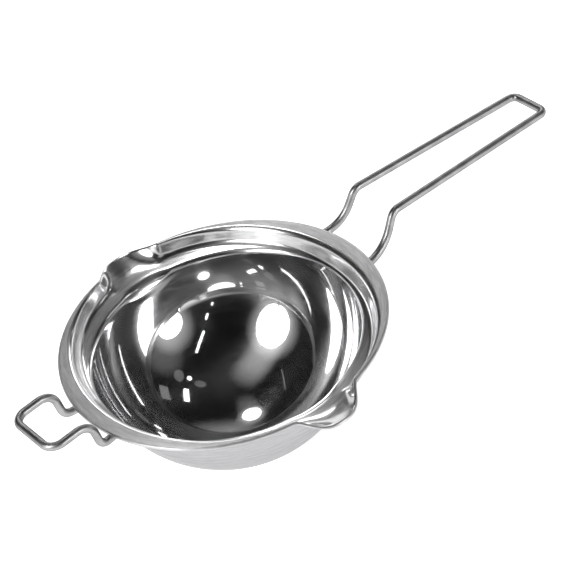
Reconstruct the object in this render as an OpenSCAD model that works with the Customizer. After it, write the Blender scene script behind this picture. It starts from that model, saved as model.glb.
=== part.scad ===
/* [Bowl] */
// Inner radius of the round bowl, centred on the plane of the rim
bowl_radius = 66.3; // [60:0.1:67]
// Thickness of the pressed sheet
sheet = 0.8; // [0.5:0.1:1.2]

/* [Rim] */
// Outer radius of the flat rim
rim_radius = 80; // [78:0.5:92]
// Width of the flat rim beside the handle and the loop
rim_width = 9.3; // [7:0.1:10]
// Width of the flat rim where it reaches a spout
rim_width_at_spout = 1.4; // [1.2:0.1:3]
// Height of the turned down edge around the rim
rim_edge = 1.3; // [1.1:0.1:2.5]
// Radius of the polished bend between the rim and the neck
neck_bend = 2; // [1.2:0.1:3]

/* [Neck] */
// How far the neck narrows on its way down beside the handle
neck_draft = 3.6; // [2.5:0.1:4.5]
// How far the neck narrows on its way down beside a spout
neck_draft_at_spout = 2; // [1:0.1:4]
// Depth below the rim where the round wall meets the ledge
ledge_depth = 8.4; // [7.5:0.1:11]
// How far the ledge climbs between the round wall and the neck
ledge_rise = 1; // [0.2:0.1:1.5]

/* [Spouts] */
// How far a spout stands out past the rim
spout_reach = 10; // [4:0.5:14]
// How far the lip of a spout lies below the rim
spout_drop = 4.3; // [2:0.1:5.8]
// Half of the angle of the rim that a spout takes up
spout_half_angle = 13.8; // [12:0.1:20]
// Length of the slope from the floor of a spout up to its lip
spout_lip_run = 7; // [2:0.5:8]
// How much more of a spout's floor the bend up to its lip takes than the ledge's bend takes elsewhere
spout_scoop = 6; // [0:0.5:8]
// How much wider the bend from the round wall onto the ledge is at a spout
spout_roll = 3; // [0:0.1:4]

/* [Handle] */
// Diameter of the wire of the handle
handle_wire = 4; // [3:0.1:5]
// Distance from the middle of the bowl to the bar at the far end
handle_reach = 204; // [150:1:260]
// Height of the handle's knee above the rim
handle_rise = 12.8; // [10:0.1:20]
// How far the handle falls from its knee to its far end
handle_fall = 6.3; // [0:0.1:10]
// Distance from the rim to the handle's lower bend
handle_foot_run = 10.9; // [9:0.1:14]
// Distance along the bowl from the lower bend to the knee
handle_step = 10.4; // [8:0.1:16]
// Half of the spread of the two wires where they leave the rim
handle_half_at_rim = 17.6; // [14:0.1:20]
// Half of the spread of the two wires at the knee
handle_half_at_knee = 14.4; // [12:0.1:18]
// Half of the spread of the two wires at the far end
handle_half_at_end = 11.2; // [9:0.1:14]
// Radius of the handle's lower bend
handle_foot_bend = 19; // [12:0.5:19.5]
// Radius of the handle's knee
handle_knee_bend = 6; // [4:0.5:8]
// Radius of the two corners at the far end
handle_corner = 4; // [3:0.5:7]

/* [Rest loop] */
// Diameter of the wire of the rest loop
loop_wire = 4; // [3:0.1:5]
// Distance from the middle of the bowl to the bar of the loop
loop_reach = 108; // [106:0.5:130]
// Height of the loop's knee above the rim
loop_rise = 13.3; // [12:0.1:20]
// How far the loop falls from its knee to its bar
loop_fall = 1.1; // [0:0.1:4]
// Distance from the rim to the loop's lower bend
loop_foot_run = 5.1; // [5:0.1:8]
// Distance along the bowl from the lower bend to the knee
loop_step = 2.6; // [1:0.1:6]
// Half of the spread of the two wires where they leave the rim
loop_half_at_rim = 14.6; // [12:0.1:20]
// Half of the spread of the two wires from the knee to the bar
loop_half_width = 15.6; // [13:0.1:20]
// Radius of the loop's lower bend
loop_foot_bend = 4.6; // [3:0.1:5]
// Radius of the loop's knee
loop_knee_bend = 8; // [4:0.5:8.5]
// Radius of the two corners at the bar
loop_corner = 6.5; // [3:0.5:8]

/* [Welds] */
// Length of each wire end that lies under the rim
wire_root = 6; // [5:0.5:6.5]
// Length of each weld along its wire
weld_length = 3.4; // [2:0.1:4]
// Width of each weld where it meets the rim
weld_width = 6.4; // [5.4:0.1:7]
// Gap between a wire and the turned down edge that it passes
edge_clearance = 0.05; // [0.02:0.01:0.3]

/* [Hidden] */

$fn = 64;
steel_bright = [0.80, 0.81, 0.82];
steel_weld = [0.52, 0.51, 0.50];

// The rim's under face lies at height 0, where a pan carries it, so the upper face is one sheet higher
rim_height = sheet;

// Sizes of the grid of points that describes the pressed sheet
columns = 96;
column_shift = 17;
wall_rows = 14;
bend_steps = 4;
edge_bend = 0.9;
ledge_bend = 2;
// Largest share of a side of the section that the bend at one of its ends may take
ledge_share = 0.48;
neck_low_share = 0.55;
neck_high_share = 0.4;
rim_inner_share = 0.38;
rim_outer_share = 0.6;
edge_share = 0.8;
// Sides of a wire and rings along each of its bends
wire_sides = 20;
wire_bend_rings = 8;
// Exponents of the curves that shape a spout in plan and in height
spout_plan_power = 2.6;
spout_floor_power = 3.4;

// Polar angle of the round wall's upper edge, measured up from straight down
ledge_angle = acos(ledge_depth / bowl_radius);

function unit(v) = v / norm(v);

// Radius at angle a of an oval that is rx long along X and ry along Y
function oval(a, rx, ry) = rx * ry / norm([ry * cos(a), rx * sin(a)]);

// Angle between direction a and the nearer spout, as a share of the spout's half angle
function spout_share(a) = abs(asin(cos(a))) / spout_half_angle;

function spout_curve(a, power) =
    spout_share(a) < 1 ? pow(1 - pow(spout_share(a), power), 2) : 0;

function spout_out(a) = spout_reach * spout_curve(a, spout_plan_power);

// Share of a spout's full depth in direction a
function spout_depth(a) = spout_curve(a, spout_floor_power);

function rim_z(a) = rim_height - spout_drop * spout_depth(a);

// Length that each bend of the ledge takes from the side next to it
function inner_cut(a) = ledge_bend + spout_roll * spout_depth(a);

function outer_cut(a) = ledge_bend + spout_scoop * spout_depth(a);

// Polar angle of a stretch of the round wall
function wall_angle(length) = length / bowl_radius * 180 / PI;

// Corners of the sheet's upper face in direction a, from the ledge out to the edge
function ledge_outer(a) = [
    oval(
        a,
        rim_radius - rim_width - neck_draft,
        rim_radius - rim_width_at_spout - neck_draft_at_spout
    ) + max(0, spout_out(a) - spout_lip_run * spout_depth(a)),
    rim_height - ledge_depth + ledge_rise
];

function neck_top(a) = [
    oval(a, rim_radius - rim_width, rim_radius - rim_width_at_spout) + spout_out(a),
    rim_z(a)
];

function rim_outer(a) = [rim_radius + spout_out(a), rim_z(a)];

function rim_lower(a) = rim_outer(a) - [0, rim_edge];

function wall_point(angle) = [
    bowl_radius * sin(angle),
    rim_height - bowl_radius * cos(angle)
];

// Half of the angle inside the corner at p
function half_corner(before, p, after) = acos(unit(before - p) * unit(after - p)) / 2;

// Points and directions of travel along the round bend of radius r at corner p
function bend_samples(before, p, after, r, steps) =
    let (
        u = unit(before - p),
        w = unit(after - p),
        half = half_corner(before, p, after),
        centre = p + unit(u + w) * r / sin(half),
        x = unit(p + u * r / tan(half) - centre),
        turn = 180 - 2 * half
    )
    [
        for (i = [0:steps])
            let (a = turn * i / steps)
            [centre + r * (x * cos(a) - u * sin(a)), -u * cos(a) - x * sin(a)]
    ];

// Points along a round bend at corner p that takes the length given, or a share of a short side
function bend(before, p, after, cut, share_before, share_after, steps) =
    let (
        taken = min(cut, share_before * norm(before - p), share_after * norm(after - p)),
        r = taken * tan(half_corner(before, p, after))
    )
    [for (s = bend_samples(before, p, after, r, steps)) s[0]];

// Section of the sheet's upper face in direction a, from the first ring around the pole to the edge
function wall_section(a) =
    let (high = ledge_angle - wall_angle(inner_cut(a)))
    [for (i = [1:wall_rows]) wall_point(high * i / (wall_rows + 1))];

function rim_section(a) =
    let (
        before = wall_point(ledge_angle - 2 * wall_angle(inner_cut(a))),
        inner = wall_point(ledge_angle),
        outer = ledge_outer(a),
        top = neck_top(a),
        edge = rim_outer(a),
        low = rim_lower(a)
    )
    [
        each bend(before, inner, outer, inner_cut(a), ledge_share, ledge_share, bend_steps),
        each bend(inner, outer, top, outer_cut(a), ledge_share, neck_low_share, bend_steps - 1),
        each bend(outer, top, edge, neck_bend, neck_high_share, rim_inner_share, bend_steps),
        each bend(top, edge, low, edge_bend, rim_outer_share, edge_share, bend_steps - 1),
        low
    ];

function upper_section(a) = concat(wall_section(a), rim_section(a));

// Columns stand closer together at the spouts than beside the handle
function column_angle(i) =
    let (even = 360 * i / columns)
    even + column_shift * sin(2 * even);

function column_points(a) = [for (p = upper_section(a)) [p[0] * cos(a), p[0] * sin(a), p[1]]];

upper = [for (i = [0:columns - 1]) column_points(column_angle(i))];
rows = len(upper[0]);

// Lowest points of the sheet's two faces
upper_bottom = [0, 0, rim_height - bowl_radius];
lower_bottom = upper_bottom - [0, 0, sheet];

function along_rim(i, j) = upper[(i + 1) % columns][j] - upper[(i + columns - 1) % columns][j];

function along_section(i, j) =
    upper[i][min(j + 1, rows - 1)] - (j == 0 ? upper_bottom : upper[i][j - 1]);

// Direction out of the upper face at column i and row j
function facing(i, j) = unit(cross(along_section(i, j), along_rim(i, j)));

// The lower face lies one sheet below the upper one, and ends level with the turned down edge
function lower_point(i, j) =
    let (
        p = upper[i][j],
        inward = -unit([p[0], p[1]])
    )
    j == rows - 1
        ? [p[0] + inward[0] * sheet, p[1] + inward[1] * sheet, p[2]]
        : p - facing(i, j) * sheet;

lower = [for (i = [0:columns - 1]) [for (j = [0:rows - 1]) lower_point(i, j)]];

module pressed_sheet() {
    upper_pole = 2 * columns * rows;
    lower_pole = upper_pole + 1;
    points = [
        for (i = [0:columns - 1]) each upper[i],
        for (i = [0:columns - 1]) each lower[i],
        upper_bottom,
        lower_bottom
    ];
    offset_lower = columns * rows;
    faces = [
        for (i = [0:columns - 1])
            let (
                k = (i + 1) % columns,
                a = i * rows,
                b = k * rows,
                c = offset_lower + a,
                d = offset_lower + b
            )
            each [
                [upper_pole, b, a],
                [lower_pole, c, d],
                for (j = [0:rows - 2]) each [
                    [a + j, b + j, b + j + 1],
                    [a + j, b + j + 1, a + j + 1],
                    [c + j, d + j + 1, d + j],
                    [c + j, c + j + 1, d + j + 1]
                ],
                [a + rows - 1, b + rows - 1, d + rows - 1],
                [a + rows - 1, d + rows - 1, c + rows - 1]
            ]
    ];
    polyhedron(points = points, faces = faces, convexity = 6);
}

module bowl() {
    color(steel_bright) pressed_sheet();
}

// Places children with their axes along x, y and z and their origin at the point given
module place(x, y, z, origin) {
    multmatrix([
        [x[0], y[0], z[0], origin[0]],
        [x[1], y[1], z[1], origin[1]],
        [x[2], y[2], z[2], origin[2]],
        [0, 0, 0, 1]
    ])
    children();
}

// Points and directions along a path with a bend of the radius given at each inner point
function wire_samples(path, radii) =
    let (last = len(path) - 1)
    [
        [path[0], unit(path[1] - path[0])],
        for (i = [1:last - 1])
            each bend_samples(path[i - 1], path[i], path[i + 1], radii[i - 1], wire_bend_rings),
        [path[last], unit(path[last] - path[last - 1])]
    ];

// Ring of points around one sample, square to its direction, which is never upright
function wire_ring(sample, r) =
    let (
        side = unit(cross(sample[1], [0, 0, 1])),
        top = cross(side, sample[1])
    )
    [
        for (k = [0:wire_sides - 1])
            let (a = 360 * k / wire_sides)
            sample[0] + r * (side * cos(a) + top * sin(a))
    ];

module bent_wire(path, radii, d) {
    samples = wire_samples(path, radii);
    last = len(samples) - 1;
    faces = [
        [for (k = [wire_sides - 1:-1:0]) k],
        [for (k = [0:wire_sides - 1]) last * wire_sides + k],
        for (i = [0:last - 1])
            for (k = [0:wire_sides - 1])
                let (
                    a = i * wire_sides + k,
                    b = i * wire_sides + (k + 1) % wire_sides
                )
                each [
                    [a, b + wire_sides, a + wire_sides],
                    [a, b, b + wire_sides]
                ]
    ];
    polyhedron(points = [for (s = samples) each wire_ring(s, d / 2)], faces = faces, convexity = 4);
}

// Height of a wire's middle where it passes under the turned down edge
function root_z(d) = rim_height - rim_edge - edge_clearance - d / 2;

// Distance from the middle of the bowl, along X, to the rim's edge at a half spread
function rim_x(half) = sqrt(rim_radius * rim_radius - half * half);

// Left half of a wire frame that leaves the rim along +X, from its root to its far corner
function frame_half(half_at_rim, half_at_knee, half_at_end, foot_run, step, rise, fall, reach, d) =
    let (
        edge = rim_x(half_at_rim),
        knee = edge + foot_run + step,
        slope = (half_at_knee - half_at_rim) / (knee - edge),
        z = root_z(d)
    )
    [
        [edge - wire_root, half_at_rim - slope * wire_root, z],
        [edge + foot_run, half_at_rim + slope * foot_run, z],
        [knee, half_at_knee, rim_height + rise],
        [reach, half_at_end, rim_height + rise - fall]
    ];

function mirrored(path) = [for (i = [len(path) - 1:-1:0]) [path[i][0], -path[i][1], path[i][2]]];

handle_half = frame_half(
    handle_half_at_rim,
    handle_half_at_knee,
    handle_half_at_end,
    handle_foot_run,
    handle_step,
    handle_rise,
    handle_fall,
    handle_reach,
    handle_wire
);

loop_half = frame_half(
    loop_half_at_rim,
    loop_half_width,
    loop_half_width,
    loop_foot_run,
    loop_step,
    loop_rise,
    loop_fall,
    loop_reach,
    loop_wire
);

module handle_wire_frame() {
    bends = [handle_foot_bend, handle_knee_bend, handle_corner];
    color(steel_bright)
        bent_wire(
            concat(handle_half, mirrored(handle_half)),
            [bends[0], bends[1], bends[2], bends[2], bends[1], bends[0]],
            handle_wire
        );
}

module rest_loop() {
    bends = [loop_foot_bend, loop_knee_bend, loop_corner];
    color(steel_bright)
        rotate([0, 0, 180])
            bent_wire(
                concat(loop_half, mirrored(loop_half)),
                [bends[0], bends[1], bends[2], bends[2], bends[1], bends[0]],
                loop_wire
            );
}

// A weld that fills the space between a wire's root and the under face of the rim
module weld(root, toward, d) {
    x = unit(toward - root);
    z = [0, 0, 1];
    under_rim = rim_height - sheet - root[2];
    place(x, cross(z, x), z, root)
        rotate([90, 0, 90])
            linear_extrude(weld_length)
                difference() {
                    polygon([
                        [-weld_width / 2, under_rim],
                        [weld_width / 2, under_rim],
                        [d / 2, 0],
                        [-d / 2, 0]
                    ]);
                    circle(d = d);
                }
}

module handle_weld_left() {
    color(steel_weld) weld(handle_half[0], handle_half[1], handle_wire);
}

module handle_weld_right() {
    color(steel_weld) mirror([0, 1, 0]) weld(handle_half[0], handle_half[1], handle_wire);
}

module loop_weld_left() {
    color(steel_weld) mirror([1, 0, 0]) weld(loop_half[0], loop_half[1], loop_wire);
}

module loop_weld_right() {
    color(steel_weld) rotate([0, 0, 180]) weld(loop_half[0], loop_half[1], loop_wire);
}

bowl();
handle_wire_frame();
rest_loop();
handle_weld_left();
handle_weld_right();
loop_weld_left();
loop_weld_right();
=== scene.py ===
"""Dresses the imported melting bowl: pressed steel, bent wires, their welds and a pale studio."""

import logging
import math
from dataclasses import dataclass
from enum import Enum
from typing import Iterable, Optional, Sequence, Union

import bpy
from mathutils import Euler, Matrix, Vector


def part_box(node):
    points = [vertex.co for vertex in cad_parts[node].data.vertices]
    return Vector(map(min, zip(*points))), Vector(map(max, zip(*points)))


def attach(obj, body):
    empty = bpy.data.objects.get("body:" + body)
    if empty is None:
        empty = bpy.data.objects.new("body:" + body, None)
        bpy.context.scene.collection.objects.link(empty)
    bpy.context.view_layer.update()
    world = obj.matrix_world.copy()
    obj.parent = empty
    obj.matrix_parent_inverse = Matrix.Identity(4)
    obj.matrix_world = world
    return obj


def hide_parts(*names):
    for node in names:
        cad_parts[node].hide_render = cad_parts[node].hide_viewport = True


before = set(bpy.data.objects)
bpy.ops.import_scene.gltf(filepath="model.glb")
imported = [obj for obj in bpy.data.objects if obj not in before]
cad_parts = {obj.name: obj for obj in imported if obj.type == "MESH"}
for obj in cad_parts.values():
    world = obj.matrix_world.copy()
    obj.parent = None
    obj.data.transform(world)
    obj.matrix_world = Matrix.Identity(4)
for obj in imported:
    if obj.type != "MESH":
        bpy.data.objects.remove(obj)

MM = 0.001
ROOT = "root"
SECTION_LENGTH = "section_length"
SECTION_ROW = "row"
# Vertices nearer than this are one vertex
MERGE_DISTANCE = 0.01 * MM
# A smear runs around its tangent's axis, and a quarter turn sends it along the bowl's sections
AROUND_THE_AXIS = 0.0
ALONG_THE_SECTION = 0.25
LOG = logging.getLogger("melting_bowl")


class Zone(Enum):
    """The parts of the pressed sheet with a finish of their own, as material slots of the bowl."""

    POLISHED = 0
    PRESSED = 1
    FLAT_RIM = 2
    OUTSIDE = 3


class Number:
    """A shader value on which arithmetic adds Math nodes."""

    def __init__(self, graph: "Graph", socket: bpy.types.NodeSocket) -> None:
        """Wraps an output socket of a node tree."""
        self.graph = graph
        self.socket = socket

    def _with(self, operation: str, *values: "Operand", clamp: bool = False) -> "Number":
        """Returns the result of a Math node on these values."""
        settings = {"operation": operation, "use_clamp": clamp}
        return self.graph.number("ShaderNodeMath", settings, *values)

    def __add__(self, other: "Operand") -> "Number":
        """Adds."""
        return self._with("ADD", self, other)

    __radd__ = __add__

    def __sub__(self, other: "Operand") -> "Number":
        """Subtracts."""
        return self._with("SUBTRACT", self, other)

    def __rsub__(self, other: "Operand") -> "Number":
        """Subtracts this from a plain number."""
        return self._with("SUBTRACT", other, self)

    def __mul__(self, other: "Operand") -> "Number":
        """Multiplies."""
        return self._with("MULTIPLY", self, other)

    __rmul__ = __mul__

    def __truediv__(self, other: "Operand") -> "Number":
        """Divides."""
        return self._with("DIVIDE", self, other)

    def clamped(self) -> "Number":
        """Returns this value held between 0 and 1."""
        return self._with("ADD", self, 0.0, clamp=True)

    def step(self, low: float, high: float) -> "Number":
        """Returns a smooth step from 0 at low to 1 at high.

        Args:
            low: The value at which the step starts.
            high: The value at which the step ends.

        Returns:
            The smooth step, from 0 to 1.
        """
        return self.graph.number(
            "ShaderNodeMapRange",
            {"interpolation_type": "SMOOTHSTEP"},
            self, low, high, 0.0, 1.0,
        )


Operand = Union[Number, float]


class Graph:
    """The node tree of one material or of the world."""

    # Where a Mix node keeps its sockets for colours
    MIX_SHARE, MIX_LOW, MIX_HIGH, MIX_RESULT = 0, 6, 7, 2

    def __init__(self, owner: Union[bpy.types.Material, bpy.types.World]) -> None:
        """Empties the owner's node tree.

        Args:
            owner: The material or world that the nodes belong to.
        """
        owner.use_nodes = True
        self.owner = owner
        self.tree = owner.node_tree
        self.tree.nodes.clear()

    def node(
        self, kind: str, settings: Optional[dict] = None, *values: object, **named: object
    ) -> bpy.types.Node:
        """Adds one node.

        Args:
            kind: The node's type.
            settings: The node's own settings, which are set first.
            *values: Values or links of the first inputs, in order.
            **named: Values or links of inputs by name, with underscores for spaces.

        Returns:
            The new node.
        """
        made = self.tree.nodes.new(kind)
        for key, value in (settings or {}).items():
            setattr(made, key, value)
        inputs = list(zip(made.inputs, values))
        inputs += [(made.inputs[key.replace("_", " ")], value) for key, value in named.items()]
        for socket, value in inputs:
            source = value.socket if isinstance(value, Number) else value
            if isinstance(source, bpy.types.NodeSocket):
                self.tree.links.new(source, socket)
            else:
                socket.default_value = source
        return made

    def number(
        self, kind: str, settings: Optional[dict] = None, *values: object, **named: object
    ) -> Number:
        """Adds one node, as node does, and returns its first output as a number."""
        return Number(self, self.node(kind, settings, *values, **named).outputs[0])

    def place(self) -> tuple[Number, Number, Number]:
        """Reads the object coordinates.

        Returns:
            The coordinates x, y and z, in metres.
        """
        coordinates = self.node("ShaderNodeTexCoord")
        parts = self.node("ShaderNodeSeparateXYZ", None, coordinates.outputs["Object"])
        return tuple(Number(self, parts.outputs[axis]) for axis in range(3))

    def vector(self, x: Operand, y: Operand, z: Operand) -> bpy.types.NodeSocket:
        """Returns a vector of three values."""
        return self.node("ShaderNodeCombineXYZ", None, x, y, z).outputs[0]

    def noise(
        self, vector: bpy.types.NodeSocket, scale: float, detail: float, roughness: float = 0.5
    ) -> Number:
        """Returns fractal noise, about 0.5 on average.

        Args:
            vector: Where the noise is read.
            scale: Waves per unit of the vector.
            detail: Number of finer layers.
            roughness: Strength of the finer layers.

        Returns:
            The noise value.
        """
        return self.number(
            "ShaderNodeTexNoise", None,
            Vector=vector, Scale=scale, Detail=detail, Roughness=roughness,
        )

    def blend(
        self, share: Number, low: Sequence[float], high: Sequence[float]
    ) -> bpy.types.NodeSocket:
        """Returns a colour between low and high.

        Args:
            share: 0 gives low and 1 gives high.
            low: The first colour, as red, green and blue.
            high: The second colour, as red, green and blue.

        Returns:
            The mixed colour.
        """
        mixed = self.node("ShaderNodeMix", {"data_type": "RGBA"})
        self.tree.links.new(share.socket, mixed.inputs[self.MIX_SHARE])
        mixed.inputs[self.MIX_LOW].default_value = (*low, 1)
        mixed.inputs[self.MIX_HIGH].default_value = (*high, 1)
        return mixed.outputs[self.MIX_RESULT]

    def bump(self, height: Number, distance: float, **named: object) -> bpy.types.NodeSocket:
        """Returns a normal bent by a height.

        Args:
            height: The height, from 0 to 1.
            distance: What a height of 1 measures, in metres.
            **named: Further inputs of the node, such as the normal that is bent.

        Returns:
            The bent normal.
        """
        made = self.node(
            "ShaderNodeBump", None, Strength=1.0, Distance=distance, Height=height, **named
        )
        return made.outputs[0]

    def finish(self, shader: bpy.types.Node) -> None:
        """Links a shader to the owner's output.

        Args:
            shader: The node whose first output is the shader.
        """
        of_world = isinstance(self.owner, bpy.types.World)
        kind = "ShaderNodeOutputWorld" if of_world else "ShaderNodeOutputMaterial"
        self.node(kind, None, shader.outputs[0])


@dataclass(frozen=True)
class RoundSteel:
    """Pressed steel that was polished or brushed in circles around the bowl's axis.

    A clear reflection is mixed with a hazy one. Scratches smear the hazy one across themselves:
    circular scratches along the bowl's sections, and the last strokes of a buff, which run from
    spout to spout, along the handle. High on one side of the wall the buff left more haze.
    All lengths are in metres, and a contrast is the values between which a pattern fades.

    Attributes:
        name: The material's name.
        light: The lighter colour.
        dark: The darker colour, between the lighter scratches.
        edge: Tint of the reflection at a glancing angle.
        roughness: Least roughness of the clear reflection.
        roughness_spread: What smudges add to that.
        haze: Least share of the hazy reflection.
        haze_spread: What scratches add to that.
        haze_roughness: Roughness of the hazy reflection.
        haze_grain: How much more the haze is smeared one way than the other.
        haze_streaks: Share of the haze's pattern that broad scratches make.
        buffed_across: Whether the last strokes ran from spout to spout.
        dull: The haze that is added high on one side.
        dull_azimuth: The direction of that side, in radians.
        dull_side: The contrast between that side and the rest.
        dull_height: Lengths along the section between which that haze sets in.
        groove: Width of a fine scratch.
        groove_height: Height of a fine scratch.
        streak: Width of a broad scratch.
        stroke: Fine scratches in each radian around the bowl.
        streak_stroke: Broad scratches for each of those.
        smudges: Smudges in each metre.
        waves: Waves of the sheet in each metre.
        wave_height: Height of those waves.
        colour_contrast: The contrast of the colour.
        smudge_contrast: The contrast of the smudges.
        haze_contrast: The contrast of the haze.
    """

    name: str
    light: tuple[float, float, float] = (0.87, 0.87, 0.875)
    dark: tuple[float, float, float] = (0.83, 0.83, 0.84)
    edge: tuple[float, float, float] = (1.0, 1.0, 1.0)
    roughness: float = 0.04
    roughness_spread: float = 0.04
    haze: float = 0.05
    haze_spread: float = 0.07
    haze_roughness: float = 0.34
    haze_grain: float = 0.95
    haze_streaks: float = 0.8
    buffed_across: bool = False
    dull: float = 0.0
    dull_azimuth: float = math.radians(75)
    dull_side: tuple[float, float] = (0.4, 0.9)
    dull_height: tuple[float, float] = (50 * MM, 78 * MM)
    groove: float = 0.35 * MM
    groove_height: float = 0.0002 * MM
    streak: float = 1.6 * MM
    stroke: float = 14.0
    streak_stroke: float = 0.3
    smudges: float = 30.0
    waves: float = 45.0
    wave_height: float = 0.003 * MM
    colour_contrast: tuple[float, float] = (0.35, 0.65)
    smudge_contrast: tuple[float, float] = (0.4, 0.7)
    haze_contrast: tuple[float, float] = (0.3, 0.7)

    def material(self) -> bpy.types.Material:
        """Builds the material.

        Returns:
            The new material, which reads the length along its section from the sheet.
        """
        made = bpy.data.materials.new(self.name)
        graph = Graph(made)
        x, y, _ = graph.place()
        radius = graph.number("ShaderNodeMath", {"operation": "SQRT"}, x * x + y * y) + MM
        length = graph.node("ShaderNodeAttribute", {"attribute_name": SECTION_LENGTH})
        along = Number(graph, length.outputs["Fac"])
        east, north = x / radius, y / radius
        fine = self.scratches(graph, east, north, along, self.stroke, self.groove)
        wide = self.scratches(
            graph, east, north, along, self.stroke * self.streak_stroke, self.streak
        )
        coordinates = graph.node("ShaderNodeTexCoord").outputs["Object"]
        smudge = graph.noise(coordinates, self.smudges, detail=3)
        wave = graph.noise(coordinates, self.waves, detail=1)
        lightness = (fine * 0.5 + wide * 0.5).step(*self.colour_contrast)
        shared = {
            "Base_Color": graph.blend(lightness, self.dark, self.light),
            "Metallic": 1.0,
            "Specular_Tint": (*self.edge, 1.0),
            "Normal": graph.bump(
                wave, self.wave_height, Normal=graph.bump(fine, self.groove_height)
            ),
        }
        smudged = (wide * 0.5 + smudge * 0.5).step(*self.smudge_contrast)
        clear = graph.node(
            "ShaderNodeBsdfPrincipled", None,
            Roughness=smudged * self.roughness_spread + self.roughness,
            **shared,
        )
        tangent = graph.node("ShaderNodeTangent", {"axis": "Y" if self.buffed_across else "Z"})
        smeared = graph.node(
            "ShaderNodeBsdfPrincipled", None,
            Roughness=self.haze_roughness,
            Anisotropic=self.haze_grain,
            Anisotropic_Rotation=AROUND_THE_AXIS if self.buffed_across else ALONG_THE_SECTION,
            Tangent=tangent.outputs[0],
            **shared,
        )
        toward = east * math.cos(self.dull_azimuth) + north * math.sin(self.dull_azimuth)
        dull = along.step(*self.dull_height) * toward.step(*self.dull_side) * self.dull
        scratched = wide * self.haze_streaks + fine * (1 - self.haze_streaks)
        share = scratched.step(*self.haze_contrast) * self.haze_spread + self.haze + dull
        graph.finish(
            graph.node("ShaderNodeMixShader", None, share, clear.outputs[0], smeared.outputs[0])
        )
        return made

    @staticmethod
    def scratches(
        graph: Graph, east: Number, north: Number, along: Number, stroke: float, width: float
    ) -> Number:
        """Returns noise drawn out into circular scratches, so many to the radian and so wide."""
        place = graph.vector(east * stroke, north * stroke, along / width)
        return graph.noise(place, scale=1, detail=3, roughness=0.6)


@dataclass(frozen=True)
class DrawnWire:
    """Bright drawn wire with faint lines along its length, darker at a glancing angle."""

    name: str = "bright_drawn_wire"
    light: tuple[float, float, float] = (0.43, 0.43, 0.435)
    dark: tuple[float, float, float] = (0.32, 0.32, 0.325)
    edge: tuple[float, float, float] = (0.30, 0.30, 0.305)
    roughness: float = 0.33
    roughness_spread: float = 0.08
    lines_along: float = 60.0
    lines_across: float = 2600.0
    line_height: float = 0.01 * MM
    patches: float = 160.0
    colour_contrast: tuple[float, float] = (0.3, 0.7)
    dull_contrast: tuple[float, float] = (0.3, 0.75)

    def material(self) -> bpy.types.Material:
        """Builds the material.

        Returns:
            The new material.
        """
        made = bpy.data.materials.new(self.name)
        graph = Graph(made)
        x, y, z = graph.place()
        stretched = graph.vector(
            x * self.lines_along, y * self.lines_across, z * self.lines_across
        )
        lines = graph.noise(stretched, scale=1, detail=2)
        patches = graph.noise(graph.vector(x, y, z), self.patches, detail=3)
        lightness, dullness = patches.step(*self.colour_contrast), patches.step(*self.dull_contrast)
        graph.finish(graph.node(
            "ShaderNodeBsdfPrincipled", None,
            Base_Color=graph.blend(lightness, self.dark, self.light),
            Metallic=1.0,
            Roughness=dullness * self.roughness_spread + self.roughness,
            Specular_Tint=(*self.edge, 1.0),
            Normal=graph.bump(lines, self.line_height),
        ))
        return made


@dataclass(frozen=True)
class WeldMetal:
    """Dull weld metal with small ripples and a faint heat tint."""

    name: str = "dull_weld_metal"
    clean: tuple[float, float, float] = (0.58, 0.57, 0.56)
    burnt: tuple[float, float, float] = (0.33, 0.31, 0.30)
    roughness: float = 0.35
    roughness_spread: float = 0.2
    ripples_along: float = 1800.0
    ripples_across: float = 500.0
    ripple_height: float = 0.12 * MM
    spots: float = 900.0
    colour_contrast: tuple[float, float] = (0.35, 0.65)
    dull_contrast: tuple[float, float] = (0.3, 0.7)

    def material(self) -> bpy.types.Material:
        """Builds the material.

        Returns:
            The new material.
        """
        made = bpy.data.materials.new(self.name)
        graph = Graph(made)
        x, y, z = graph.place()
        stretched = graph.vector(
            x * self.ripples_along, y * self.ripples_across, z * self.ripples_across
        )
        ripples = graph.noise(stretched, scale=1, detail=3)
        spots = graph.noise(graph.vector(x, y, z), self.spots, detail=4)
        cleanness, dullness = spots.step(*self.colour_contrast), spots.step(*self.dull_contrast)
        graph.finish(graph.node(
            "ShaderNodeBsdfPrincipled", None,
            Base_Color=graph.blend(cleanness, self.burnt, self.clean),
            Metallic=1.0,
            Roughness=dullness * self.roughness_spread + self.roughness,
            Normal=graph.bump(ripples, self.ripple_height),
        ))
        return made


def deselect_all() -> None:
    """Leaves object mode with nothing selected."""
    if bpy.context.object is not None and bpy.context.object.mode != "OBJECT":
        bpy.ops.object.mode_set(mode="OBJECT")
    bpy.ops.object.select_all(action="DESELECT")


def activate(piece: bpy.types.Object) -> None:
    """Makes a piece the only one selected, and active.

    Args:
        piece: The piece.
    """
    deselect_all()
    piece.select_set(True)
    bpy.context.view_layer.objects.active = piece


def apply_modifier(piece: bpy.types.Object, kind: str, **settings: object) -> None:
    """Adds a modifier to a piece and applies it.

    Args:
        piece: The piece to change.
        kind: The modifier's type.
        **settings: The modifier's own settings.
    """
    activate(piece)
    modifier = piece.modifiers.new(kind.lower(), kind)
    for key, value in settings.items():
        setattr(modifier, key, value)
    bpy.ops.object.modifier_apply(modifier=modifier.name)


def edit_all(piece: bpy.types.Object) -> None:
    """Opens a piece in edit mode with all of its mesh selected.

    Args:
        piece: The piece.
    """
    activate(piece)
    bpy.ops.object.mode_set(mode="EDIT")
    bpy.ops.mesh.select_all(action="SELECT")


def direction(azimuth: float, elevation: float) -> Vector:
    """Returns the unit vector in a direction, from its azimuth and elevation in radians."""
    flat = math.cos(elevation)
    return Vector((flat * math.cos(azimuth), flat * math.sin(azimuth), math.sin(elevation)))


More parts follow.
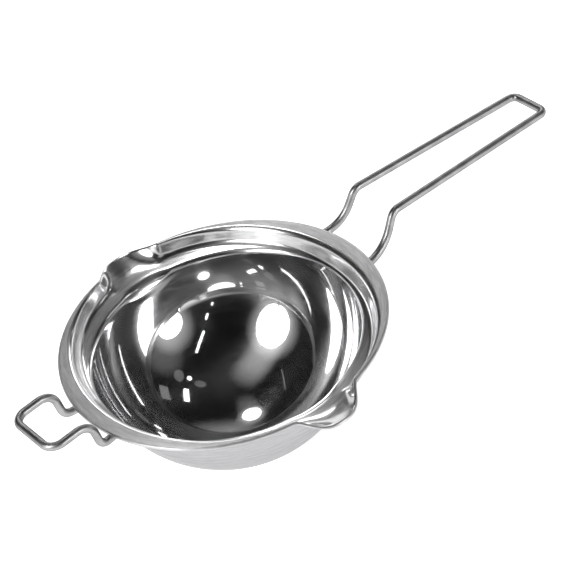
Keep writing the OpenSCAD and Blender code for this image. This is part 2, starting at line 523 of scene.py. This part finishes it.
def facing(away: Vector, turn: float) -> Euler:
    """Returns the rotation of what faces its aim from a direction, turned about it in radians."""
    level = away.to_track_quat("Z", "Y").to_matrix()
    return (level @ Matrix.Rotation(turn, 3, "Z")).to_euler()


def unit(v: Vector) -> Vector:
    """Returns a vector's direction."""
    return v.normalized()


def half_corner(before: Vector, corner: Vector, after: Vector) -> float:
    """Returns half of the angle inside a corner, in radians."""
    return unit(before - corner).angle(unit(after - corner)) / 2


def round_bend(
    before: Vector, corner: Vector, after: Vector, radius: float, steps: int
) -> list[Vector]:
    """Returns points along the round bend of a corner.

    Args:
        before: The point before the corner.
        corner: The corner.
        after: The point after the corner.
        radius: The bend's radius.
        steps: The number of equal steps along the bend.

    Returns:
        The steps + 1 points from the bend's start to its end.
    """
    u, w = unit(before - corner), unit(after - corner)
    half = half_corner(before, corner, after)
    centre = corner + unit(u + w) * (radius / math.sin(half))
    x = unit(corner + u * (radius / math.tan(half)) - centre)
    turn = math.pi - 2 * half
    angles = [turn * i / steps for i in range(steps + 1)]
    return [centre + (x * math.cos(a) - u * math.sin(a)) * radius for a in angles]


@dataclass
class PressedBowl:
    """The pressed sheet: its round bottom and wall, the ledge, the neck, the spouts and the rim.

    Each bend takes at most the given shares of the sides before and after it. The columns of the
    mesh are drawn together at the spouts by column_shift.
    """

    rim_radius: float
    spout_reach: float
    rim_height: float
    finishes: Sequence[bpy.types.Material]
    sheet: float = 0.8 * MM
    bowl_radius: float = 66.3 * MM
    rim_width: float = 9.3 * MM
    rim_width_at_spout: float = 1.4 * MM
    rim_edge: float = 1.3 * MM
    neck_draft: float = 3.6 * MM
    neck_draft_at_spout: float = 2.0 * MM
    ledge_depth: float = 8.4 * MM
    ledge_rise: float = 1.0 * MM
    spout_drop: float = 4.3 * MM
    spout_half_angle: float = math.radians(13.8)
    spout_lip_run: float = 7.0 * MM
    spout_scoop: float = 6.0 * MM
    spout_roll: float = 3.0 * MM
    spout_plan_power: float = 2.6
    spout_floor_power: float = 3.4
    neck_bend: float = 2.0 * MM
    ledge_bend: float = 2.0 * MM
    edge_bend: float = 0.9 * MM
    wall_bend_shares: tuple[float, float] = (0.48, 0.48)
    ledge_bend_shares: tuple[float, float] = (0.48, 0.55)
    neck_bend_shares: tuple[float, float] = (0.4, 0.38)
    edge_bend_shares: tuple[float, float] = (0.6, 0.8)
    columns: int = 288
    column_shift: float = math.radians(17)
    wall_rows: int = 52
    bend_rows: int = 8
    straight_rows: int = 4
    sharp_angle: float = math.radians(50)

    def spout_curve(self, azimuth: float, power: float) -> float:
        """Returns how much of a spout there is at an azimuth: 1 in its middle, 0 at its edges."""
        share = abs(math.asin(max(-1.0, min(1.0, math.cos(azimuth))))) / self.spout_half_angle
        return (1 - share**power) ** 2 if share < 1 else 0.0

    def wall_point(self, angle: float) -> Vector:
        """Returns a point of the round wall, as radius and height, from its angle to the axis."""
        across, down = self.bowl_radius * math.sin(angle), self.bowl_radius * math.cos(angle)
        return Vector((across, self.rim_height - down))

    @staticmethod
    def oval(azimuth: float, along_x: float, along_y: float) -> float:
        """Returns an oval's radius in a direction, from its half lengths along x and y."""
        x, y = along_y * math.cos(azimuth), along_x * math.sin(azimuth)
        return along_x * along_y / math.hypot(x, y)

    def bend(
        self,
        before: Vector,
        corner: Vector,
        after: Vector,
        cut: float,
        shares: tuple[float, float],
    ) -> list[Vector]:
        """Returns the points of a round bend that takes at most a share of its two sides.

        Args:
            before: The corner before this one.
            corner: The corner to round.
            after: The corner after this one.
            cut: The length that the bend takes from each side, if there is room.
            shares: The largest shares of the sides before and after that it may take.

        Returns:
            The points from the bend's start to its end.
        """
        sides = (before - corner).length, (after - corner).length
        taken = min(cut, shares[0] * sides[0], shares[1] * sides[1])
        radius = taken * math.tan(half_corner(before, corner, after))
        return round_bend(before, corner, after, radius, self.bend_rows)

    def straight(self, start: Vector, end: Vector) -> list[Vector]:
        """Returns the points strictly between two points."""
        return [start.lerp(end, i / self.straight_rows) for i in range(1, self.straight_rows)]

    def section(self, azimuth: float) -> tuple[list[Vector], list[Zone]]:
        """Works out the section of the sheet's upper face in one direction.

        Args:
            azimuth: The direction around the bowl's axis, in radians.

        Returns:
            The points as radius and height, and the zone that each starts.
        """
        plan = self.spout_reach * self.spout_curve(azimuth, self.spout_plan_power)
        floor = self.spout_curve(azimuth, self.spout_floor_power)
        height = self.rim_height - self.spout_drop * floor
        ledge_angle = math.acos(self.ledge_depth / self.bowl_radius)
        inner_cut = self.ledge_bend + self.spout_roll * floor
        outer_cut = self.ledge_bend + self.spout_scoop * floor
        bend_angle = inner_cut / self.bowl_radius
        top_x = self.rim_radius - self.rim_width
        top_y = self.rim_radius - self.rim_width_at_spout
        before = self.wall_point(ledge_angle - 2 * bend_angle)
        inner = self.wall_point(ledge_angle)
        outer = Vector((
            self.oval(azimuth, top_x - self.neck_draft, top_y - self.neck_draft_at_spout)
            + max(0.0, plan - self.spout_lip_run * floor),
            self.rim_height - self.ledge_depth + self.ledge_rise,
        ))
        top = Vector((self.oval(azimuth, top_x, top_y) + plan, height))
        edge = Vector((self.rim_radius + plan, height))
        low = edge - Vector((0, self.rim_edge))
        high_angle = ledge_angle - bend_angle
        wall = [self.wall_point(high_angle * i / self.wall_rows) for i in range(self.wall_rows)]
        ledge_in = self.bend(before, inner, outer, inner_cut, self.wall_bend_shares)
        ledge_out = self.bend(inner, outer, top, outer_cut, self.ledge_bend_shares)
        neck = self.bend(outer, top, edge, self.neck_bend, self.neck_bend_shares)
        turned = self.bend(top, edge, low, self.edge_bend, self.edge_bend_shares)
        inside = wall + ledge_in + self.straight(ledge_in[-1], ledge_out[0]) + ledge_out
        inside += self.straight(ledge_out[-1], neck[0]) + neck
        rim = self.straight(neck[-1], turned[0]) + turned + [low]
        zones = [Zone.POLISHED] * len(wall) + [Zone.PRESSED] * (len(inside) - len(wall) - 1)
        zones += [Zone.FLAT_RIM] * (len(rim) + 1)
        return inside + rim, zones

    def draw_section(self) -> bpy.types.Object:
        """Draws the section towards the handle as one chain of edges, from the axis outwards.

        Returns:
            The chain, whose vertices know their row.
        """
        deselect_all()
        points, _ = self.section(0.0)
        bpy.ops.mesh.primitive_plane_add(size=MM, location=(0, 0, points[0].y))
        piece = bpy.context.object
        bpy.ops.object.transform_apply(location=True)
        bpy.ops.object.mode_set(mode="EDIT")
        bpy.ops.mesh.select_all(action="SELECT")
        bpy.ops.mesh.merge(type="CENTER")
        for start, end in zip(points, points[1:]):
            step = (end.x - start.x, 0, end.y - start.y)
            bpy.ops.mesh.extrude_region_move(TRANSFORM_OT_translate={"value": step})
        bpy.ops.object.mode_set(mode="OBJECT")
        places = [Vector((vertex.co.x, vertex.co.z)) for vertex in piece.data.vertices]
        nearest = [
            min(range(len(points)), key=lambda row: (points[row] - place).length)
            for place in places
        ]
        rows = piece.data.attributes.new(SECTION_ROW, "INT", "POINT")
        rows.data.foreach_set("value", nearest)
        return piece

    def press(self, piece: bpy.types.Object) -> None:
        """Presses the neck and the spouts into the spun sheet, and measures along its sections.

        Args:
            piece: The spun sheet, whose vertices know their row, counted outwards.
        """
        mesh = piece.data
        rows = [entry.value for entry in mesh.attributes[SECTION_ROW].data]
        lengths = [0.0] * len(rows)
        sections: dict[int, tuple[float, list[Vector], list[float]]] = {}
        for vertex in mesh.vertices:
            row = rows[vertex.index]
            turn = math.atan2(vertex.co.y, vertex.co.x)
            column = round(turn / (2 * math.pi) * self.columns) % self.columns
            if column not in sections:
                even = 2 * math.pi * column / self.columns
                azimuth = even + self.column_shift * math.sin(2 * even)
                points, _ = self.section(azimuth)
                measured = [0.0]
                for start, end in zip(points, points[1:]):
                    measured.append(measured[-1] + (end - start).length)
                sections[column] = (azimuth, points, measured)
            azimuth, points, measured = sections[column]
            place = points[row]
            vertex.co = (place.x * math.cos(azimuth), place.x * math.sin(azimuth), place.y)
            lengths[vertex.index] = measured[row]
        along = mesh.attributes.new(SECTION_LENGTH, "FLOAT", "POINT")
        along.data.foreach_set("value", lengths)

    def zone_faces(self, piece: bpy.types.Object) -> None:
        """Gives each face of the sheet the slot of its zone.

        Args:
            piece: The pressed sheet, whose vertices know their row.
        """
        _, zones = self.section(0.0)
        rows = [entry.value for entry in piece.data.attributes[SECTION_ROW].data]
        for face in piece.data.polygons:
            face.material_index = zones[min(rows[v] for v in face.vertices)].value

    def build(self) -> bpy.types.Object:
        """Builds the bowl.

        Returns:
            The finished piece.
        """
        piece = self.draw_section()
        piece.name = "pressed_bowl"
        edit_all(piece)
        bpy.ops.mesh.spin(steps=self.columns, angle=2 * math.pi, center=(0, 0, 0), axis=(0, 0, 1))
        bpy.ops.mesh.select_all(action="SELECT")
        bpy.ops.mesh.remove_doubles(threshold=MERGE_DISTANCE)
        bpy.ops.object.mode_set(mode="OBJECT")
        self.press(piece)
        for finish in self.finishes:
            piece.data.materials.append(finish)
        self.zone_faces(piece)
        edit_all(piece)
        bpy.ops.mesh.normals_make_consistent(inside=False)
        bpy.ops.object.mode_set(mode="OBJECT")
        middle = min(piece.data.polygons, key=lambda face: face.center.z)
        if middle.normal.z < 0:
            piece.data.flip_normals()
        apply_modifier(
            piece, "SOLIDIFY",
            thickness=self.sheet, offset=-1.0, use_quality_normals=True,
            material_offset=len(Zone), material_offset_rim=len(Zone),
        )
        bpy.ops.object.shade_smooth_by_angle(angle=self.sharp_angle)
        return piece


@dataclass
class BentWire:
    """A frame of one round wire that leaves the rim, steps up to a knee and closes at its end."""

    name: str
    rim_radius: float
    rim_height: float
    wire: float
    reach: float
    half_at_rim: float
    half_at_knee: float
    half_at_end: float
    foot_run: float
    step: float
    rise: float
    fall: float
    bends: tuple[float, float, float]
    finish: bpy.types.Material
    turned: bool = False
    root: float = 6.0 * MM
    rim_edge: float = 1.3 * MM
    clearance: float = 0.05 * MM
    mirror_seam: float = 0.05 * MM
    end_bevel: float = 0.35 * MM
    sides: int = 40
    bend_steps: int = 20
    bevel_steps: int = 3
    bevel_angle: float = math.radians(60)
    sharp_angle: float = math.radians(40)

    def corners(self) -> list[Vector]:
        """Works out the corners of one half of the wire.

        Returns:
            The corners, from the root under the rim to the middle of the far end.
        """
        edge = math.sqrt(self.rim_radius**2 - self.half_at_rim**2)
        knee = edge + self.foot_run + self.step
        slope = (self.half_at_knee - self.half_at_rim) / (knee - edge)
        low = self.rim_height - self.rim_edge - self.clearance - self.wire / 2
        high = self.rim_height + self.rise
        return [
            Vector((edge - self.root, self.half_at_rim - slope * self.root, low)),
            Vector((edge + self.foot_run, self.half_at_rim + slope * self.foot_run, low)),
            Vector((knee, self.half_at_knee, high)),
            Vector((self.reach, self.half_at_end, high - self.fall)),
            Vector((self.reach, 0, high - self.fall)),
        ]

    def build(self) -> bpy.types.Object:
        """Builds the wire by extruding and spinning a disc along its path, and mirrors it.

        Returns:
            The finished piece.
        """
        corners = self.corners()
        start = corners[0]
        heading = unit(corners[1] - start)
        deselect_all()
        bpy.ops.mesh.primitive_circle_add(
            vertices=self.sides,
            radius=self.wire / 2,
            fill_type="NGON",
            location=start,
            rotation=heading.to_track_quat("Z", "Y").to_euler(),
        )
        piece = bpy.context.object
        piece.name = self.name
        bpy.ops.object.transform_apply(location=True, rotation=True)
        bpy.ops.object.mode_set(mode="EDIT")
        bpy.ops.mesh.select_all(action="SELECT")
        place = start
        for before, corner, after, radius in zip(corners, corners[1:], corners[2:], self.bends):
            u, w = unit(before - corner), unit(after - corner)
            half = half_corner(before, corner, after)
            tangent = corner + u * (radius / math.tan(half))
            centre = corner + unit(u + w) * (radius / math.sin(half))
            bpy.ops.mesh.extrude_region_move(TRANSFORM_OT_translate={"value": tangent - place})
            bpy.ops.mesh.spin(
                steps=self.bend_steps,
                angle=math.pi - 2 * half,
                center=centre,
                axis=(tangent - centre).cross(u),
            )
            place = corner + w * (radius / math.tan(half))
        bpy.ops.mesh.extrude_region_move(TRANSFORM_OT_translate={"value": corners[-1] - place})
        bpy.ops.mesh.delete(type="ONLY_FACE")
        bpy.ops.object.mode_set(mode="OBJECT")
        apply_modifier(
            piece, "MIRROR",
            use_axis=(False, True, False), use_clip=True,
            use_mirror_merge=True, merge_threshold=self.mirror_seam,
        )
        if self.turned:
            piece.data.transform(Matrix.Rotation(math.pi, 4, "Z"))
        edit_all(piece)
        bpy.ops.mesh.remove_doubles(threshold=MERGE_DISTANCE)
        bpy.ops.mesh.normals_make_consistent(inside=False)
        bpy.ops.object.mode_set(mode="OBJECT")
        apply_modifier(
            piece, "BEVEL",
            width=self.end_bevel, segments=self.bevel_steps,
            limit_method="ANGLE", angle_limit=self.bevel_angle,
        )
        bpy.ops.object.shade_smooth_by_angle(angle=self.sharp_angle)
        piece.data.materials.append(self.finish)
        return piece


@dataclass
class Weld:
    """A bead of weld metal that joins one root of a wire to the under face of the rim."""

    node: str
    wire: BentWire
    left: bool
    sheet: float
    finish: bpy.types.Material
    length: float = 3.4 * MM
    width: float = 6.4 * MM
    lump_size: float = 0.9 * MM
    lump_height: float = 0.3 * MM
    segments: int = 48
    rings: int = 32
    sharp_angle: float = math.radians(50)

    def build(self) -> bpy.types.Object:
        """Builds the bead as a flattened half ball with an uneven skin.

        Returns:
            The finished piece.
        """
        root, toward = self.wire.corners()[:2]
        top = self.wire.rim_height - self.sheet
        flip_x, flip_y = (-1 if self.wire.turned else 1), (1 if self.left else -1)
        along = unit(toward - root)
        middle = root + along * self.length / 2
        deselect_all()
        bpy.ops.mesh.primitive_uv_sphere_add(
            segments=self.segments, ring_count=self.rings, radius=1
        )
        piece = bpy.context.object
        piece.name = self.node + "_bead"
        edit_all(piece)
        bpy.ops.mesh.bisect(
            plane_co=(0, 0, 0), plane_no=(0, 0, 1), use_fill=True, clear_outer=True
        )
        bpy.ops.object.mode_set(mode="OBJECT")
        piece.data.transform(
            Matrix.Translation((middle.x * flip_x, middle.y * flip_y, top))
            @ Matrix.Rotation(math.atan2(along.y * flip_y, along.x * flip_x), 4, "Z")
            @ Matrix.Diagonal((self.length / 2, self.width / 2, top - root.z, 1))
        )
        lumps = bpy.data.textures.new(self.node + "_lumps", "CLOUDS")
        lumps.noise_scale = self.lump_size
        apply_modifier(piece, "DISPLACE", texture=lumps, strength=self.lump_height, mid_level=0.5)
        bpy.ops.object.shade_smooth_by_angle(angle=self.sharp_angle)
        piece.data.materials.append(self.finish)
        return piece


@dataclass(frozen=True)
class Lamp:
    """A soft box or a bar of light, whose direction, half sizes and turn are in degrees."""

    name: str
    azimuth: float
    elevation: float
    half_width: float
    half_height: float
    radiance: float
    turn: float = 0.0
    distance: float = 1.6
    shape: str = "ELLIPSE"
    seen_in_gloss: bool = True

    def add(self, aim: Vector) -> bpy.types.Object:
        """Adds the lamp.

        Args:
            aim: The point that the lamp faces.

        Returns:
            The lamp.
        """
        away = direction(math.radians(self.azimuth), math.radians(self.elevation))
        wide = 2 * self.distance * math.tan(math.radians(self.half_width))
        tall = 2 * self.distance * math.tan(math.radians(self.half_height))
        fill = 1.0 if self.shape == "RECTANGLE" else math.pi / 4
        deselect_all()
        bpy.ops.object.light_add(type="AREA", location=aim + away * self.distance)
        lamp = bpy.context.object
        lamp.name = self.name
        lamp.rotation_euler = facing(away, math.radians(self.turn))
        lamp.data.shape = self.shape
        lamp.data.size = wide
        lamp.data.size_y = tall
        lamp.data.energy = self.radiance * math.pi * wide * tall * fill
        lamp.visible_glossy = self.seen_in_gloss
        return lamp


@dataclass(frozen=True)
class Glow:
    """A soft patch or upright band of light on the dark studio walls, all in degrees."""

    azimuth: float
    elevation: float
    radius: float
    strength: float
    half_width: float = 90.0

    def level(self, x: Number, y: Number, z: Number) -> Number:
        """Works out the patch's light in a direction.

        Args:
            x: The direction along x.
            y: The direction along y.
            z: The direction along z.

        Returns:
            The light.
        """
        azimuth = math.radians(self.azimuth)
        middle = direction(azimuth, math.radians(self.elevation))
        near = x * middle.x + y * middle.y + z * middle.z
        aside = y * math.cos(azimuth) - x * math.sin(azimuth)
        beside = (aside * aside).step(0.0, math.sin(math.radians(self.half_width)) ** 2)
        return near.step(math.cos(math.radians(self.radius)), 1.0) * (1 - beside) * self.strength


GLOWS = (
    Glow(-177, 38, 27, 0.45),
    Glow(-178, 54, 40, 0.30, half_width=17),
    Glow(-73, 18, 24, 0.40),
    Glow(-52, 26, 22, 0.10),
    Glow(46, 31, 26, 0.20),
    Glow(68, 55, 11, 0.30),
    Glow(68, 60, 20, 0.12, half_width=9),
)

LAMPS = (
    Lamp("large_soft_box", -176, 37, 14.5, 17.5, 6.0),
    Lamp("low_soft_box", -73, 17, 12, 10, 6.0),
    Lamp("far_strip", 46, 31, 18, 5.5, 3.0),
    Lamp("far_spot", 68, 55.5, 5.7, 6.0, 6.0),
    Lamp("ceiling_bar", -88, 44, 9.5, 0.7, 5.0, turn=34, shape="RECTANGLE"),
    Lamp("short_bar", -107, 28, 2.6, 0.7, 4.0, turn=50, shape="RECTANGLE"),
    Lamp("low_bar", -115.5, 19.3, 1.4, 0.7, 3.0, turn=50, shape="RECTANGLE"),
    Lamp("ceiling_dot", -39, 53.3, 1.6, 1.6, 5.0),
    Lamp("ceiling_block", -14, 49.6, 5.6, 1.8, 4.0, turn=-15, shape="RECTANGLE"),
    Lamp("strip_dot_high", 15.6, 31.4, 1.3, 1.3, 4.0),
    Lamp("strip_dot_low", 8, 25.1, 1.2, 1.2, 4.0),
    Lamp("grey_panel", -14, 33, 5.5, 3.5, 0.22, shape="RECTANGLE"),
    Lamp("grey_umbrella", -38, 45, 5, 4, 0.14),
    Lamp("grey_stand", -33, 62, 3, 4.5, 0.12),
    Lamp("thin_bar", 124, 53, 9, 0.35, 0.25, turn=17, shape="RECTANGLE"),
    Lamp("overhead_fill", 0, 90, 35, 35, 0.9, seen_in_gloss=False),
)


@dataclass
class Studio:
    """The pale floor, the surroundings, the lamps and the camera."""

    rim_height: float
    floor_height: float
    floor_size: float = 8.0
    floor_grey: float = 0.85
    floor_roughness: float = 0.9
    floor_glow: float = 0.65
    white_below: float = 9.0
    dark_above: float = 15.0
    darkness: float = 0.003
    middle_depth: float = 45 * MM
    camera_azimuth: float = math.radians(-120.01)
    camera_elevation: float = math.radians(39.46)
    camera_distance: float = 1109.1 * MM
    camera_roll: float = math.radians(-14.5)
    camera_lens: float = 147.64
    camera_clip: float = 10 * MM
    aim_x: float = 39.6 * MM
    aim_y: float = 2.9 * MM

    def floor(self) -> bpy.types.Object:
        """Adds the plain pale floor.

        Returns:
            The floor, which isn't part of the object.
        """
        deselect_all()
        bpy.ops.mesh.primitive_plane_add(size=self.floor_size, location=(0, 0, self.floor_height))
        piece = bpy.context.object
        piece.name = "floor"
        graph = Graph(bpy.data.materials.new("pale_floor"))
        path = graph.node("ShaderNodeLightPath")
        seen, glossy, through = (
            Number(graph, path.outputs[f"Is {kind} Ray"])
            for kind in ("Camera", "Glossy", "Transmission")
        )
        paint = graph.node(
            "ShaderNodeBsdfPrincipled", None,
            Base_Color=(self.floor_grey, self.floor_grey, self.floor_grey, 1),
            Roughness=self.floor_roughness,
        )
        glow = graph.node(
            "ShaderNodeEmission", None,
            (1, 1, 1, 1), (seen + glossy + through).clamped() * self.floor_glow,
        )
        graph.finish(
            graph.node("ShaderNodeAddShader", None, paint.outputs[0], glow.outputs[0])
        )
        piece.data.materials.append(graph.owner)
        return piece

    def surroundings(self) -> None:
        """Sets a world that is white along the horizon and dark above, with patches of light."""
        world = bpy.data.worlds.new("studio")
        bpy.context.scene.world = world
        graph = Graph(world)
        coordinates = graph.node("ShaderNodeTexCoord")
        split = graph.node("ShaderNodeSeparateXYZ", None, coordinates.outputs["Generated"])
        x, y, z = (Number(graph, output) for output in split.outputs)
        low, high = math.radians(self.white_below), math.radians(self.dark_above)
        above = z.step(math.sin(low), math.sin(high))
        level = sum((glow.level(x, y, z) for glow in GLOWS), self.darkness)
        graph.finish(graph.node("ShaderNodeBackground", None, (level - 1) * above + 1, 1.0))

    def lamps(self) -> None:
        """Adds the soft boxes that light the bowl and show in its polish."""
        aim = Vector((0, 0, self.rim_height - self.middle_depth))
        for lamp in LAMPS:
            lamp.add(aim)

    def camera(self) -> None:
        """Adds the camera at the photograph's viewing angle."""
        aim = Vector((self.aim_x, self.aim_y, self.rim_height))
        away = direction(self.camera_azimuth, self.camera_elevation)
        deselect_all()
        bpy.ops.object.camera_add(location=aim + away * self.camera_distance)
        camera = bpy.context.object
        camera.rotation_euler = facing(away, self.camera_roll)
        camera.data.lens = self.camera_lens
        camera.data.clip_start = self.camera_clip
        bpy.context.scene.camera = camera

    def build(self) -> None:
        """Sets up the whole studio and the way that colours are shown."""
        bpy.context.scene.view_settings.view_transform = "Standard"
        self.floor()
        self.surroundings()
        self.lamps()
        self.camera()


def dress(piece: bpy.types.Object, nodes: Iterable[str]) -> None:
    """Ties a piece to the root body and hides the nodes that it stands for.

    Args:
        piece: The finished piece.
        nodes: The CAD nodes that it replaces.
    """
    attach(piece, ROOT)
    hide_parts(*nodes)
    LOG.info("%s: %d faces", piece.name, len(piece.data.polygons))


def bowl_finishes() -> list[bpy.types.Material]:
    """Makes the finishes of the bowl's zones.

    Returns:
        One material for each zone, in the order of Zone.
    """
    steels = {
        Zone.POLISHED: RoundSteel("polished_inside", dull=0.09, buffed_across=True),
        Zone.PRESSED: RoundSteel(
            "polished_bends",
            roughness=0.10, roughness_spread=0.04,
            haze=0.26, haze_spread=0.16, haze_roughness=0.3,
            groove_height=0.0004 * MM,
        ),
        Zone.FLAT_RIM: RoundSteel(
            "satin_flat_rim",
            light=(0.68, 0.68, 0.685), dark=(0.46, 0.46, 0.47),
            roughness=0.28, roughness_spread=0.08,
            haze=0.5, haze_spread=0.2, haze_roughness=0.55, haze_grain=0.8,
            groove_height=0.001 * MM,
        ),
        Zone.OUTSIDE: RoundSteel(
            "satin_outside",
            light=(0.50, 0.50, 0.505), dark=(0.47, 0.47, 0.48), edge=(0.72, 0.72, 0.725),
            roughness=0.20, roughness_spread=0.06,
            haze=0.3, haze_spread=0.2, haze_roughness=0.45, haze_grain=0.6,
            groove_height=0.0004 * MM,
        ),
    }
    return [steels[zone].material() for zone in Zone]


def main() -> None:
    """Builds the pieces and the studio, and keeps the sizes of both models."""
    logging.basicConfig(level=logging.INFO)
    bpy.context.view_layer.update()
    bowl_low, bowl_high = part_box("bowl")
    rim_radius, rim_height = bowl_high.x, bowl_high.z
    bowl = PressedBowl(
        rim_radius=rim_radius,
        spout_reach=bowl_high.y - rim_radius,
        rim_height=rim_height,
        finishes=bowl_finishes(),
    )
    dress(bowl.build(), ["bowl"])
    wire_finish = DrawnWire().material()
    _, handle_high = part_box("handle_wire_frame")
    loop_low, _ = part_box("rest_loop")
    wire = 4.0 * MM
    handle = BentWire(
        name="handle_wire",
        rim_radius=rim_radius,
        rim_height=rim_height,
        wire=wire,
        reach=handle_high.x - wire / 2,
        half_at_rim=17.6 * MM,
        half_at_knee=14.4 * MM,
        half_at_end=11.2 * MM,
        foot_run=10.9 * MM,
        step=10.4 * MM,
        rise=12.8 * MM,
        fall=6.3 * MM,
        bends=(19.0 * MM, 6.0 * MM, 4.0 * MM),
        finish=wire_finish,
    )
    dress(handle.build(), ["handle_wire_frame"])
    loop = BentWire(
        name="rest_loop_wire",
        rim_radius=rim_radius,
        rim_height=rim_height,
        wire=wire,
        reach=-loop_low.x - wire / 2,
        half_at_rim=14.6 * MM,
        half_at_knee=15.6 * MM,
        half_at_end=15.6 * MM,
        foot_run=5.1 * MM,
        step=2.6 * MM,
        rise=13.3 * MM,
        fall=1.1 * MM,
        bends=(4.6 * MM, 8.0 * MM, 6.5 * MM),
        finish=wire_finish,
        turned=True,
    )
    dress(loop.build(), ["rest_loop"])
    weld_finish = WeldMetal().material()
    for name, wire_frame in (("handle", handle), ("loop", loop)):
        for side in ("left", "right"):
            node = f"{name}_weld_{side}"
            weld = Weld(node, wire_frame, side == "left", bowl.sheet, weld_finish)
            dress(weld.build(), [node])
    Studio(rim_height, bowl_low.z).build()


if __name__ == "__main__":
    main()
